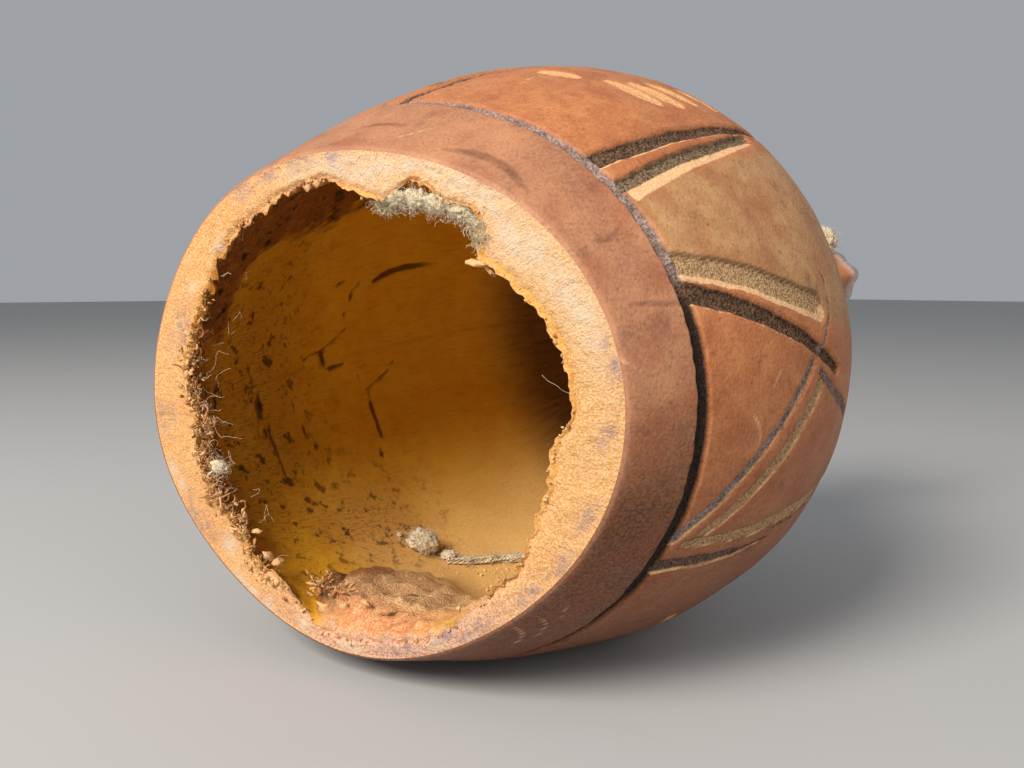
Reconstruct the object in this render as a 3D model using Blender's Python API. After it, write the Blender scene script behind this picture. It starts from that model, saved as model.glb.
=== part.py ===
"""A small gourd shell, sawn open at one end and carved on the outside.

The gourd lies on its belly. Its long axis runs along +Y and rises gently away from the
mouth, which faces -Y. The origin is the middle of the small flat it rests on, at z = 0.
Everything is in metres.
"""

import math

import bmesh
import bpy
import numpy as np
from mathutils import Matrix, Vector

# Attitude: the axis rises from the mouth, and the oval of the body leans a little.
AXIS_RISE = math.radians(9.06)
OVAL_LEAN = math.radians(5.0)
OVAL_SQUASH = 0.948
REST_BELOW_MOUTH = 0.0366
REST_BEYOND_MOUTH = 0.0370

# Profile: half width of the body at stations along the axis, from inside the sawn-off
# crown, through the mouth (0) and the belly, to the broken stem.
STATIONS = (-0.0236, 0.0, 0.0189, 0.0378, 0.0566, 0.0755, 0.0900, 0.1010, 0.1110, 0.1194)
RADII = (0.0260, 0.0350, 0.0425, 0.0460, 0.0428, 0.0283, 0.0158, 0.0100, 0.0078, 0.0070)
STEM_END = STATIONS[-1]

# The mouth end isn't quite round: lobes per turn, size, and the angle of a crest.
LOBES = ((2, 0.0203, 0.185), (3, 0.0175, 0.152), (4, 0.0176, 0.080))
LOBES_FADE = 0.0297

# The saw cut leans across the axis; the groove near it leans less.
MOUTH_SLANT = (0.358, 0.045)
RING_SLANT = (0.256, 0.044)
RING_FROM_MOUTH = 0.0129

# Wall: the pith is thick at the rim and on the lower left, thinner deep inside.
WALL = 0.0042
RIM_FADE = 0.009
RIM_ANGLES = (-180, -160, -135, -112, -96, -75, -50, -30, -8, 12, 30, 46, 62, 80, 100, 122, 150)
RIM_WALLS = (11.0, 9.6, 8.2, 6.2, 4.4, 8.5, 6.0, 5.8, 6.8, 6.0, 6.8, 3.8, 5.0, 4.2, 4.8, 6.8, 8.4)
CAVITY_SHOULDER = 0.084
CAVITY_END = 0.106

# Pith left standing low inside the mouth, where the rest broke away.
LEDGE_ANGLE = math.radians(-72)
LEDGE_SPREAD = math.radians(26)
LEDGE_DEPTH = 0.019
LEDGE_HEIGHT = 0.0042

# Carving. Angles are degrees round the body from +X, upwards; a panel's lines start at the
# near ring and run away from the mouth.
GROOVE_DEPTH = 0.0009
FLOOR_SHARE = 0.75
CUTTER_LIFT = 0.0012
RING_WIDTH = 0.0018
PANEL_TURNS = (0, 112, 236)
APEX = (0.0437, 3.0)
PANEL_END = 0.0475
FAR_RING_AT = 0.0610
# name: first angle, last station, last angle, width
PANEL_LINES = {
    "upper_edge": (42.5, FAR_RING_AT, 45.0, 0.0020),
    "upper_inner": (35.2, PANEL_END, 40.2, 0.0029),
    "slope_down_inner": (22.4, PANEL_END - 0.001, 9.6, 0.0031),
    "slope_down": (17.8, APEX[0], 3.6, 0.0024),
    "slope_up": (-22.4, APEX[0], 2.2, 0.0016),
    "slope_up_inner": (-25.0, PANEL_END - 0.001, -4.6, 0.0014),
    "lower_inner": (-24.6, PANEL_END, -26.2, 0.0028),
    "lower_edge": (-28.4, FAR_RING_AT, -31.0, 0.0020),
}
# The inner lines of the lower corner start short of the ring, where they run together.
SHORT_START = {"slope_up_inner": 0.0300, "lower_inner": 0.0265}
# name: station and angle of both ends, width
PANEL_SHORTS = {
    "far_edge": ((PANEL_END, 15.5), (0.0450, 4.6), 0.0012),
    "tail": ((APEX[0], 3.4), (0.0500, -1.4), 0.0015),
    "tail_inner": ((0.0452, -0.3), (0.0585, -13.5), 0.0016),
}

# Facets.
AROUND = 48
OUTER_ROWS = 22
INNER_ROWS = 12
RING_FACETS = 48
LINE_FACETS = 5
SHORT_FACETS = 3

MM = 0.001
FULL_TURN = 2 * math.pi

axis = Vector((0, math.cos(AXIS_RISE), math.sin(AXIS_RISE)))
across = Vector((1, 0, 0))
upward = across.cross(axis)
tilt = Matrix.Rotation(-OVAL_LEAN, 3, axis)
oval_long = tilt @ across
oval_short = tilt @ upward
mouth_centre = Vector((0, -REST_BEYOND_MOUTH, REST_BELOW_MOUTH))


def smooth_curve(xs, ys, at):
    """A cubic curve through the points, its slope at each taken from its neighbours."""
    xs, ys = np.array(xs), np.array(ys)
    slopes = np.gradient(ys, xs)
    place = np.clip(np.searchsorted(xs, at) - 1, 0, len(xs) - 2)
    step = xs[place + 1] - xs[place]
    t = (at - xs[place]) / step
    start = ys[place] * (1 + 2 * t) + slopes[place] * step * t
    end = ys[place + 1] * (3 - 2 * t) + slopes[place + 1] * step * (t - 1)
    return start * (1 - t) ** 2 + end * t**2


def radius(station, turn):
    """Half width of the outside at a station, at an angle measured from the oval's length."""
    fade = math.exp(-max(station, STATIONS[0]) / LOBES_FADE)
    lobes = sum(size * math.cos(count * (turn - crest)) for count, size, crest in LOBES)
    return float(smooth_curve(STATIONS, RADII, station)) * (1 + fade * lobes)


def place(station, turn, inset=0.0):
    """The point at a station and angle, a given distance inside the outer surface."""
    r = radius(station, turn) - inset
    return (
        mouth_centre
        + axis * station
        + oval_long * (r * math.cos(turn))
        + oval_short * (r * OVAL_SQUASH * math.sin(turn))
    )


def slanted_station(turn, offset, slant):
    """Where a plane that leans across the axis meets the outside, at an angle."""
    station = offset
    for _ in range(12):
        r = radius(station, turn)
        station = offset + r * (slant[0] * math.cos(turn) + slant[1] * OVAL_SQUASH * math.sin(turn))
    return station


def mouth_station(turn):
    return slanted_station(turn, 0.0, MOUTH_SLANT)


def ring_station(turn):
    return slanted_station(turn, RING_FROM_MOUTH, RING_SLANT)


def body_angle(degrees):
    """An angle given from +X, as one measured from the oval's length."""
    return math.radians(degrees) - OVAL_LEAN


def rim_wall(turn):
    """Width of the sawn face of the rim, read round the mouth."""
    degrees = (math.degrees(turn + OVAL_LEAN) + 180) % 360 - 180
    angles = [a - 360 for a in RIM_ANGLES[-2:]] + list(RIM_ANGLES) + [a + 360 for a in RIM_ANGLES[:2]]
    walls = list(RIM_WALLS[-2:]) + list(RIM_WALLS) + list(RIM_WALLS[:2])
    return float(smooth_curve(angles, walls, degrees)) * MM


def ledge(depth, turn):
    """Height of the broken pith above the lining, at a depth behind the rim."""
    away = (turn + OVAL_LEAN - LEDGE_ANGLE + math.pi) % FULL_TURN - math.pi
    sideways = math.exp(-((away / LEDGE_SPREAD) ** 4))
    return LEDGE_HEIGHT * sideways * max(0.0, 1 - (depth / LEDGE_DEPTH) ** 3)


def lining(station, turn):
    """Wall thickness behind the rim: it thins to the common wall, then closes at the stem."""
    depth = station - mouth_station(turn)
    fade = math.exp(-depth / RIM_FADE)
    wall = WALL + (rim_wall(turn) - WALL) * fade + ledge(depth, turn) * (1 - fade)
    if station > CAVITY_SHOULDER:
        closing = (station - CAVITY_SHOULDER) / (CAVITY_END - CAVITY_SHOULDER)
        hollow = (radius(station, turn) - wall) * math.sqrt(max(0.0, 1 - closing**2))
        wall = radius(station, turn) - hollow
    return wall


def add_ring(mesh, points):
    return [mesh.verts.new(point) for point in points]


def bridge(mesh, first, second):
    """Quads between two rings of the same length."""
    for i in range(len(first)):
        j = (i + 1) % len(first)
        mesh.faces.new((first[i], first[j], second[j], second[i]))


def turns(count):
    return [FULL_TURN * i / count for i in range(count)]


def build_shell():
    """The hollow body as one closed skin: outside, stem end, sawn rim and lining."""
    mesh = bmesh.new()
    outer = []
    for row in range(OUTER_ROWS):
        share = row / (OUTER_ROWS - 1)
        points = []
        for turn in turns(AROUND):
            start = mouth_station(turn)
            points.append(place(start + (STEM_END - start) * share, turn))
        outer.append(add_ring(mesh, points))
    for first, second in zip(outer, outer[1:]):
        bridge(mesh, first, second)
    stem_tip = mesh.verts.new(mouth_centre + axis * (STEM_END + 0.0008))
    for i in range(AROUND):
        mesh.faces.new((outer[-1][i], outer[-1][(i + 1) % AROUND], stem_tip))

    rim = []
    for turn in turns(AROUND):
        edge = place(mouth_station(turn), turn)
        spoke = edge - mouth_centre
        rim.append(edge - spoke.normalized() * rim_wall(turn))
    inner = [add_ring(mesh, rim)]
    for row in range(1, INNER_ROWS):
        share = (row / INNER_ROWS) ** 1.15
        points = []
        for turn in turns(AROUND):
            start = mouth_station(turn)
            station = start + (CAVITY_END - start) * share
            points.append(place(station, turn, lining(station, turn)))
        inner.append(add_ring(mesh, points))
    for first, second in zip(inner, inner[1:]):
        bridge(mesh, first, second)
    cavity_tip = mesh.verts.new(mouth_centre + axis * CAVITY_END)
    for i in range(AROUND):
        mesh.faces.new((inner[-1][i], inner[-1][(i + 1) % AROUND], cavity_tip))
    bridge(mesh, outer[0], inner[0])
    return to_object(mesh, "gourd_shell")


def to_object(mesh, name):
    """An object of flat triangles facing out, so that every later cut is between planes.

    Its mesh is in millimetres under a scale of a thousandth, which keeps the fine cuts exact.
    """
    bmesh.ops.triangulate(mesh, faces=mesh.faces[:])
    bmesh.ops.recalc_face_normals(mesh, faces=mesh.faces[:])
    bmesh.ops.scale(mesh, vec=(1 / MM, 1 / MM, 1 / MM), verts=mesh.verts[:])
    data = bpy.data.meshes.new(name)
    mesh.to_mesh(data)
    mesh.free()
    thing = bpy.data.objects.new(name, data)
    thing.scale = (MM, MM, MM)
    bpy.context.scene.collection.objects.link(thing)
    return thing


def surface_frame(station, turn):
    """A point on the outside and its outward direction there."""
    step = 0.0005
    along = place(station + step, turn) - place(station - step, turn)
    round_it = place(station, turn + step) - place(station, turn - step)
    return place(station, turn), round_it.cross(along).normalized()


def build_groove(name, path, width, closed=False):
    """A cutter with sloping sides and a flat floor, laid along a path of (station, turn)."""
    frames = [surface_frame(station, turn) for station, turn in path]
    slope = (1 - FLOOR_SHARE) / 2 * width / GROOVE_DEPTH
    top = width / 2 + slope * CUTTER_LIFT
    floor = width / 2 * FLOOR_SHARE
    mesh = bmesh.new()
    rings = []
    count = len(frames)
    for i, (point, outward) in enumerate(frames):
        before = frames[(i - 1) % count if closed else max(i - 1, 0)][0]
        after = frames[(i + 1) % count if closed else min(i + 1, count - 1)][0]
        side = outward.cross(after - before).normalized()
        high = point + outward * CUTTER_LIFT
        low = point - outward * GROOVE_DEPTH
        rings.append(add_ring(mesh, (high - side * top, high + side * top, low + side * floor, low - side * floor)))
    pairs = list(zip(rings, rings[1:]))
    if closed:
        pairs.append((rings[-1], rings[0]))
    else:
        mesh.faces.new(rings[0])
        mesh.faces.new(rings[-1])
    for first, second in pairs:
        bridge(mesh, first, second)
    return to_object(mesh, name)


def straight_path(start, end, facets=LINE_FACETS):
    """Stations and angles evenly between two ends, the angles given in degrees from +X."""
    shares = [i / facets for i in range(facets + 1)]
    return [
        (start[0] + (end[0] - start[0]) * t, body_angle(start[1] + (end[1] - start[1]) * t))
        for t in shares
    ]


def build_rest_cutter():
    """A block under the belly, whose top leaves the small flat at z = 0."""
    mesh = bmesh.new()
    side = 0.06
    bmesh.ops.create_cube(mesh, size=side, matrix=Matrix.Translation((0, 0, -side / 2)))
    return to_object(mesh, "rest_cutter")


def cut(body, cutter):
    cutter.hide_render = True
    cutter.display_type = "WIRE"
    cutting = body.modifiers.new(cutter.name, "BOOLEAN")
    cutting.operation = "DIFFERENCE"
    cutting.solver = "EXACT"
    cutting.object = cutter


def carve(body):
    """The ring near the mouth, the carved panels, and the plain ring that ends them."""
    near = [(ring_station(turn), turn) for turn in turns(RING_FACETS)]
    cut(body, build_groove("near_ring", near, RING_WIDTH, closed=True))
    far = [(FAR_RING_AT, turn) for turn in turns(RING_FACETS)]
    cut(body, build_groove("far_ring", far, RING_WIDTH, closed=True))
    for number, shift in enumerate(PANEL_TURNS, 1):
        for name, (first, last_station, last, width) in PANEL_LINES.items():
            start = SHORT_START.get(name) or ring_station(body_angle(first + shift))
            path = straight_path((start, first + shift), (last_station, last + shift))
            cut(body, build_groove(f"panel_{number}_{name}", path, width))
        for name, (start, end, width) in PANEL_SHORTS.items():
            path = straight_path((start[0], start[1] + shift), (end[0], end[1] + shift), SHORT_FACETS)
            cut(body, build_groove(f"panel_{number}_{name}", path, width))


def rind_material():
    finish = bpy.data.materials.new("gourd_rind")
    finish.use_nodes = True
    shader = finish.node_tree.nodes["Principled BSDF"]
    shader.inputs["Base Color"].default_value = (0.42, 0.20, 0.09, 1)
    shader.inputs["Roughness"].default_value = 0.5
    shader.inputs["Metallic"].default_value = 0.0
    return finish


def main():
    for old in list(bpy.data.objects):
        bpy.data.objects.remove(old)
    body = build_shell()
    body.data.materials.append(rind_material())
    carve(body)
    cut(body, build_rest_cutter())
    body.data.shade_smooth()
    body.data.set_sharp_from_angle(angle=math.radians(35))


main()
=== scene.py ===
import math
import random

import bmesh
import bpy
import numpy as np
from mathutils import Matrix, Vector, noise


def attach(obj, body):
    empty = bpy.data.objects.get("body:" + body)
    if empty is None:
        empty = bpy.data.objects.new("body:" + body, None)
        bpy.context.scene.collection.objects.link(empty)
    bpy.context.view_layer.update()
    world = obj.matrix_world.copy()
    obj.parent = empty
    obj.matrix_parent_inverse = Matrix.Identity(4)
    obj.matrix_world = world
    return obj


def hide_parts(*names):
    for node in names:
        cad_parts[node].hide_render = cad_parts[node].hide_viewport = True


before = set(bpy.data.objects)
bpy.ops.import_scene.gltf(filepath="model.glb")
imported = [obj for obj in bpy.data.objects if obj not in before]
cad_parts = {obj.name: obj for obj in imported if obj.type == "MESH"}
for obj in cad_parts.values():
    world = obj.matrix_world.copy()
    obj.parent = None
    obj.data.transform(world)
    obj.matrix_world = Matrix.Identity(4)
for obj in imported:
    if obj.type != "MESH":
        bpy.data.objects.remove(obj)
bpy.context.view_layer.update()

# ---------------------------------------------------------------------------
# The rind: the hard outside of a dried gourd, grown round a leaning axis. It is stained
# brown, ringed near the mouth, and carved in panels whose grooves are rubbed with black
# and with sand, each with a clean pale lip where the knife came out.
# ---------------------------------------------------------------------------
MM = 0.001
FULL_TURN = 2 * math.pi
AXIS_RISE = math.radians(9.06)
OVAL_LEAN = math.radians(5.0)
OVAL_SQUASH = 0.948
MOUTH_CENTRE = np.array((0, -0.0370, 0.0366))
STATIONS = (-0.0236, 0.0, 0.0189, 0.0378, 0.0566, 0.0755, 0.0900, 0.1010, 0.1110, 0.1194)
RADII = (0.0260, 0.0350, 0.0425, 0.0460, 0.0428, 0.0283, 0.0158, 0.0100, 0.0078, 0.0070)
STEM_END = STATIONS[-1]
LOBES = ((2, 0.0203, 0.185), (3, 0.0175, 0.152), (4, 0.0176, 0.080))
LOBES_FADE = 0.0297
MOUTH_SLANT = (0.358, 0.045)
RING_SLANT = (0.256, 0.044)
RING_FROM_MOUTH = 0.0129
FAR_RING_AT = 0.0610

AXIS = np.array((0, math.cos(AXIS_RISE), math.sin(AXIS_RISE)))
UPWARD = np.array((0, -math.sin(AXIS_RISE), math.cos(AXIS_RISE)))
ACROSS = np.array((1.0, 0, 0))
OVAL_LONG = ACROSS * math.cos(OVAL_LEAN) + UPWARD * math.sin(OVAL_LEAN)
OVAL_SHORT = UPWARD * math.cos(OVAL_LEAN) - ACROSS * math.sin(OVAL_LEAN)


def smooth_curve(xs, ys, at):
    """A cubic curve through the points, its slope at each taken from its neighbours."""
    xs, ys = np.array(xs, float), np.array(ys, float)
    slopes = np.gradient(ys, xs)
    place = np.clip(np.searchsorted(xs, at) - 1, 0, len(xs) - 2)
    step = xs[place + 1] - xs[place]
    t = (at - xs[place]) / step
    start = ys[place] * (1 + 2 * t) + slopes[place] * step * t
    end = ys[place + 1] * (3 - 2 * t) + slopes[place + 1] * step * (t - 1)
    return start * (1 - t) ** 2 + end * t**2


def body_radius(station, turn):
    lobes = sum(size * np.cos(count * (turn - crest)) for count, size, crest in LOBES)
    fade = np.exp(-np.maximum(station, STATIONS[0]) / LOBES_FADE)
    return smooth_curve(STATIONS, RADII, station) * (1 + fade * lobes)


def on_body(station, turn, inset=0.0):
    """Points at stations along the axis and angles round it, inset from the outer surface."""
    r = body_radius(station, turn) - inset
    return (
        MOUTH_CENTRE
        + np.multiply.outer(station, AXIS)
        + np.multiply.outer(r * np.cos(turn), OVAL_LONG)
        + np.multiply.outer(r * OVAL_SQUASH * np.sin(turn), OVAL_SHORT)
    )


def slanted_station(turn, offset, slant):
    """Where a plane that leans across the axis meets the outside."""
    station = np.full_like(turn, offset)
    for _ in range(12):
        r = body_radius(station, turn)
        station = offset + r * (slant[0] * np.cos(turn) + slant[1] * OVAL_SQUASH * np.sin(turn))
    return station


def angle_of(degrees):
    """An angle given from +X, upwards, as one measured from the oval's length."""
    return np.radians(degrees) - OVAL_LEAN


def ring_station(turn):
    return slanted_station(turn, RING_FROM_MOUTH, RING_SLANT)


def mouth_station(turn):
    return slanted_station(turn, 0.0, MOUTH_SLANT)


def step_up(low, high, value):
    """0 below low, 1 above high, smooth between."""
    t = np.clip((value - low) / (high - low), 0, 1)
    return t * t * (3 - 2 * t)


def turn_gap(degrees, centre):
    """How far an angle is from a centre, in degrees, the short way round."""
    return (degrees - centre + 180) % 360 - 180


def hump(degrees, centre, spread, power=2):
    """1 at an angle, falling away on both sides of it."""
    return np.exp(-((turn_gap(degrees, centre) / spread) ** power))


def leaf_of(along, least=0.0):
    """A width that is full half way along a stroke and narrow at its ends."""
    return np.sqrt(np.clip(4 * along * (1 - along), least, 1))


def roughness_of(points, size, octaves=3):
    """Fractal noise, about -1 to 1, at points in metres, with features of a size in metres."""
    scaled = points.reshape(-1, 3) / size
    values = [noise.fractal(Vector(p), 0.9, 2.0, octaves) for p in scaled]
    return np.array(values).reshape(points.shape[:-1])


# Columns are closer together on the side that is carved most finely.
FINE_SIDE = (25.0, 75.0)
COLUMNS = 480
EDGE_ROUND = 0.00035
even = np.linspace(-180, 180, 1441)
weight = 1 + 1.0 * hump(even, *FINE_SIDE, 4)
share = np.concatenate(([0], np.cumsum((weight[1:] + weight[:-1]) / 2)))
column_degrees = np.interp(np.arange(COLUMNS) / COLUMNS * share[-1], share, even)
column_turn = angle_of(column_degrees)
column_mouth = mouth_station(column_turn)
column_ring = ring_station(column_turn)
mouth_normal = AXIS - MOUTH_SLANT[0] * OVAL_LONG - MOUTH_SLANT[1] * OVAL_SHORT
mouth_normal = mouth_normal / np.linalg.norm(mouth_normal)


def sawn_plane_point(turn, inset):
    """A point of the sawn face, at a distance in from the outer edge."""
    edge = on_body(mouth_station(turn), turn)
    spoke = edge - MOUTH_CENTRE
    length = np.linalg.norm(spoke, axis=-1, keepdims=True)
    return edge - spoke / length * np.asarray(inset)[..., None]


def grid_faces(rows, columns):
    """Quads of a grid that closes on itself sideways."""
    row_starts = np.arange(rows - 1)[:, None] * columns
    base = row_starts + np.arange(columns)
    across = row_starts + (np.arange(columns) + 1) % columns
    return np.stack([base, across, across + columns, base + columns], axis=-1).reshape(-1, 4)


def make_piece(name, points, faces, material, fields):
    """A smooth mesh object that rides on the gourd's one body, with its named fields."""
    mesh = bpy.data.meshes.new(name)
    mesh.from_pydata(points.reshape(-1, 3).tolist(), [], [list(map(int, f)) for f in faces])
    for field, values in fields.items():
        layer = mesh.attributes.new(field, "FLOAT", "POINT")
        layer.data.foreach_set("value", np.ascontiguousarray(values, dtype=np.float32).ravel())
    mesh.shade_smooth()
    mesh.materials.append(material)
    piece = bpy.data.objects.new(name, mesh)
    bpy.context.scene.collection.objects.link(piece)
    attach(piece, "root")
    return piece


edge_steps = 4
rounded = []
for i in range(edge_steps + 1):
    lean = math.pi / 2 * i / edge_steps
    rounded.append((EDGE_ROUND * (1 - math.cos(lean)), EDGE_ROUND * (1 - math.sin(lean))))
rows = [sawn_plane_point(column_turn, np.full(COLUMNS, EDGE_ROUND))]
row_stations = [column_mouth]
for depth, inset in rounded[1:]:
    rows.append(on_body(column_mouth + depth, column_turn, inset))
    row_stations.append(column_mouth + depth)
COLLAR_ROWS, RING_ROWS, PANEL_ROWS, NECK_ROWS = 12, 16, 96, 27
RING_BAND = 0.0015
collar_start = column_mouth + EDGE_ROUND + 0.0002
rows.append(on_body(collar_start, column_turn))
row_stations.append(collar_start)
NECK_FROM = 0.0635
neck_start = np.full(COLUMNS, NECK_FROM)
spans = (
    (collar_start, column_ring - RING_BAND, COLLAR_ROWS),
    (column_ring - RING_BAND, column_ring + RING_BAND, RING_ROWS),
    (column_ring + RING_BAND, neck_start, PANEL_ROWS),
    (neck_start, np.full(COLUMNS, STEM_END), NECK_ROWS),
)
for start, end, count in spans:
    for i in range(1, count + 1):
        station = start + (end - start) * i / count
        rows.append(on_body(station, column_turn))
        row_stations.append(station)
rind_points = np.stack(rows)
rind_stations = np.stack(row_stations)
rind_degrees = np.broadcast_to(column_degrees, rind_stations.shape)

# The carved lines of one panel: kind, route as (station in mm, degrees), width at both ends,
# depth, lip width at both ends, side of the lip, greyness (grey clay in sand, a painted highlight in ink).
PANEL = (
    (
        "ink", ((None, 42.7), (31.5, 43.2), (38.8, 44.0), (46.8, 44.6), (61, 45.6)),
        (2.3, 1.3), 0.6, (0.5, 0.3), -1, 0.05,
    ),
    ("sand", ((24.2, 36.6), (34.4, 39.0), (42, 40.4), (50, 42.6)), (1.7, 1.3), 0.6, (1.8, 0.8), -1, 1.0),
    ("sand", ((24.0, 22.7), (33.1, 18.2), (39.5, 14.2), (45.6, 10.9)), (2.4, 2.6), 0.5, (0.8, 0.9), -1, 0.1),
    ("lip", ((43.6, 9.4), (46.3, 9.0)), (0.6, 2.3), 0.3, (0, 0), -1, 0),
    (
        "ink", ((None, 18.0), (30.5, 14.4), (37.5, 9.4), (44.0, 4.3), (49.3, -0.9)),
        (2.5, 1.3), 0.6, (0.3, 0.25), -1, 0.0,
    ),
    ("ink", ((49.2, 15.2), (48.4, 8.5), (45.4, 3.4)), (0.35, 0.45), 0.15, (0, 0), -1, 1.0),
    ("ink", ((45.0, -0.1), (48.2, -4.0), (52.6, -8.4), (58.0, -14)), (1.0, 1.6), 0.3, (0, 0), -1, 0.5),
    (
        "ink", ((None, -23.4), (28.4, -15.4), (35.0, -7.6), (43.2, 2.0)),
        (1.5, 1.0), 0.5, (0.3, 0.15), -1, 0.95,
    ),
    (
        "sand", ((26.5, -23.0), (31.0, -18.5), (37.3, -11.6), (44.6, -2.4)),
        (1.3, 1.6), 0.35, (0.3, 0.25), -1, 0.0,
    ),
    (
        "sand", ((24.8, -24.2), (30, -24.8), (36.0, -25.3), (46.5, -26.2), (56, -27)),
        (1.2, 2.6), 0.35, (0.3, 0.3), -1, 0.0,
    ),
    (
        "ink", ((None, -28.4), (31.8, -29.5), (36.5, -30.0), (40.5, -30.4)),
        (2.2, 0.7), 0.5, (0.5, 0.2), -1, 0.2,
    ),
    ("ink", ((40.0, -28.2), (46, -28.6), (56, -29.4)), (0.5, 0.35), 0.2, (0, 0), -1, 0.3),
)
# Strokes scraped clean in the field above each panel: station and degrees of both ends.
STROKES = (
    ((33.6, 73.5), (35.9, 65.3)), ((38.4, 63.6), (40.3, 51.6)), ((41.4, 62.0), (43.7, 50.4)),
    ((44.8, 61.6), (47.4, 51.6)), ((50.0, 60.6), (52.5, 51.4)), ((54.4, 60.0), (56.4, 52.0)),
)
STROKE_WIDTH = 2.8
PANEL_TURNS = (0, 112, 236)
INK_WANDER = 0.16


def route_points(route, shift, samples=26):
    """A smooth route over the outside, from (station in mm, degrees) pairs."""
    pairs = []
    for station, degrees in route:
        if station is None:
            station = float(ring_station(np.array([angle_of(degrees + shift)]))[0]) / MM
        pairs.append((station, degrees + shift))
    at = np.linspace(0, len(pairs) - 1, samples)
    index = np.arange(len(pairs))
    along = smooth_curve(index, [p[0] for p in pairs], at)
    round_it = smooth_curve(index, [p[1] for p in pairs], at)
    return along * MM, angle_of(round_it)


def offset_from(points, station, turn, reach, closed=False):
    """Signed distance in mm from points to a route on the outside, and the share along it.

    Positive is towards greater angles. Points beyond reach (mm) keep a large distance.
    """
    path = on_body(station, turn)
    outward = path - (MOUTH_CENTRE + np.multiply.outer(station, AXIS))
    outward /= np.linalg.norm(outward, axis=1, keepdims=True)
    count = len(path) if closed else len(path) - 1
    flat = points.reshape(-1, 3)
    low, high = path.min(0) - reach * MM, path.max(0) + reach * MM
    near = np.flatnonzero(np.all((flat > low) & (flat < high), axis=1))
    best = np.full(len(near), 1e3)
    side = np.zeros(len(near))
    share_along = np.zeros(len(near))
    for i in range(count):
        start, end = path[i], path[(i + 1) % len(path)]
        run = end - start
        length = np.dot(run, run)
        t = np.clip((flat[near] - start) @ run / length, 0, 1)
        gap = flat[near] - start - t[:, None] * run
        distance = np.linalg.norm(gap, axis=1) / MM
        closer = distance < best
        best[closer] = distance[closer]
        across = np.cross(outward[i], run / math.sqrt(length))
        side[closer] = np.sign(gap[closer] @ across)
        share_along[closer] = (i + t[closer]) / count
    offset = np.full(len(flat), 1e3)
    along = np.zeros(len(flat))
    offset[near] = best * np.where(side == 0, 1, side)
    along[near] = share_along
    return offset.reshape(points.shape[:-1]), along.reshape(points.shape[:-1])


wander = roughness_of(rind_points, 0.0016, 2)
marks = ("ink", "sand", "lip", "scrape", "scratch", "pale_scratch", "groove_wall_shade")
fields = {name: np.full(rind_stations.shape, -9.0) for name in marks}
ring_gap = (rind_stations - np.broadcast_to(column_ring, rind_stations.shape)) / MM
greyness = np.zeros(rind_stations.shape)
relief = np.zeros(rind_stations.shape)


def carve(kind, route, widths, depth, lips, lip_side, grey, shift=0, closed=False):
    """Sinks one line into the rind and records how far inside it each point is, in mm."""
    if closed:
        station, turn = ring_station(route), route
    else:
        station, turn = route_points(route, shift)
    offset, along = offset_from(rind_points, station, turn, 5.0, closed)
    width = widths[0] + (widths[1] - widths[0]) * along
    half = width / 2 + INK_WANDER * wander
    beyond_ring = ring_gap > -0.2
    reached = np.abs(offset) < 900
    inside = np.where(beyond_ring | closed, half - np.abs(offset), -9)
    fields[kind][:] = np.maximum(fields[kind], inside)
    greyness[:] = np.where(inside > -0.3, grey, greyness)
    profile = step_up(-0.2, 0.2, inside)
    # Painted shade: a dark line along the steep far wall of each sand groove.
    far_side = np.where(reached & beyond_ring, 0.22 - np.abs(-offset * lip_side - half), -9)
    if kind == "sand":
        fields["groove_wall_shade"][:] = np.maximum(fields["groove_wall_shade"], far_side)
    if lips[0]:
        lip = lips[0] + (lips[1] - lips[0]) * along
        beyond = offset * lip_side - half
        slope = np.clip(1 - beyond / np.maximum(lip, 0.05), 0, 1)
        beside = reached & beyond_ring & (along < 0.995) & (along > 0.003)
        on_lip = np.where(beside, np.minimum(beyond + 0.1, lip - beyond), -9)
        fields["lip"][:] = np.maximum(fields["lip"], on_lip)
        profile = np.maximum(profile, np.where((beyond > 0) & beside, slope * 0.85, 0))
    relief[:] = np.maximum(relief, profile * depth)


ring_turns = np.linspace(0, FULL_TURN, 220, endpoint=False)
carve("ink", ring_turns, (1.3, 1.3), 0.6, (0, 0), 1, 0.3, closed=True)
# The ring was cut wider down the right side, where it is still full of black.
WIDE_RING = ((None, 24), (None, 12), (None, 0), (None, -14), (None, -27), (None, -36))
carve("ink", WIDE_RING, (1.8, 2.3), 0.7, (0, 0), 1, -0.6)
for shift in PANEL_TURNS:
    for line in PANEL:
        carve(*line, shift=shift)
    for stroke_start, stroke_end in STROKES:
        station, turn = route_points((stroke_start, stroke_end), shift, 12)
        offset, along = offset_from(rind_points, station, turn, 4.0)
        leaf = STROKE_WIDTH / 2 * leaf_of(along) + 0.25 * wander
        inside = leaf - np.abs(offset)
        fields["scrape"][:] = np.maximum(fields["scrape"], inside)
        relief[:] = np.maximum(relief, 0.25 * step_up(-0.2, 0.6, inside))
far_gap = np.abs(rind_stations - FAR_RING_AT) / MM
far_inside = 0.35 + INK_WANDER * wander - far_gap
fields["ink"][:] = np.maximum(fields["ink"], far_inside)
relief[:] = np.maximum(relief, 0.3 * step_up(-0.25, 0.2, far_inside))

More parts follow.
